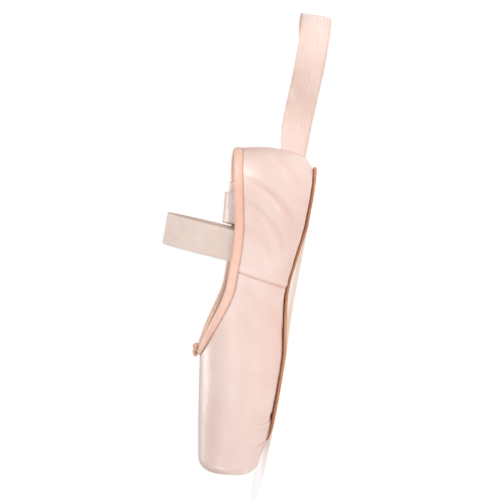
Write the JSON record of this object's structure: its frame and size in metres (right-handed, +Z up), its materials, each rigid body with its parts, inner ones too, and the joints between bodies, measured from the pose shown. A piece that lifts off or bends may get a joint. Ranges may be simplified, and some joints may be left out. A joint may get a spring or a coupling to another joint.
{
  "type": "pointe shoe",
  "caption": "Satin pointe shoe with a boxed toe, leather sole leaf, drawstring collar, instep elastic and ankle ribbons, standing empty on its sole.",
  "frame": {"origin": "middle of the shoe's footprint, on the surface that it stands on", "axes": "+X from heel to toe, +Y to the shoe's left side, +Z up"},
  "size_m": [0.3431, 0.182, 0.0975],
  "materials": {
    "satin": "soft satin gloss",
    "sole_leather": "smooth, scored under the forefoot",
    "sock_lining": "matt cotton",
    "casing": "satin bias tape",
    "drawstring_cotton": "matt braided cotton",
    "elastic_web": "matt knitted elastic",
    "ribbon_satin": "satin gloss"
  },
  "bodies": {
    "root": {"upper": "satin", "outsole": "sole_leather", "insole": "sock_lining", "collar_binding": "casing", "drawstring_knot": "drawstring_cotton", "instep_elastic": "elastic_web", "ribbon_left": "ribbon_satin", "ribbon_right": "ribbon_satin"}
  },
  "joints": []
}
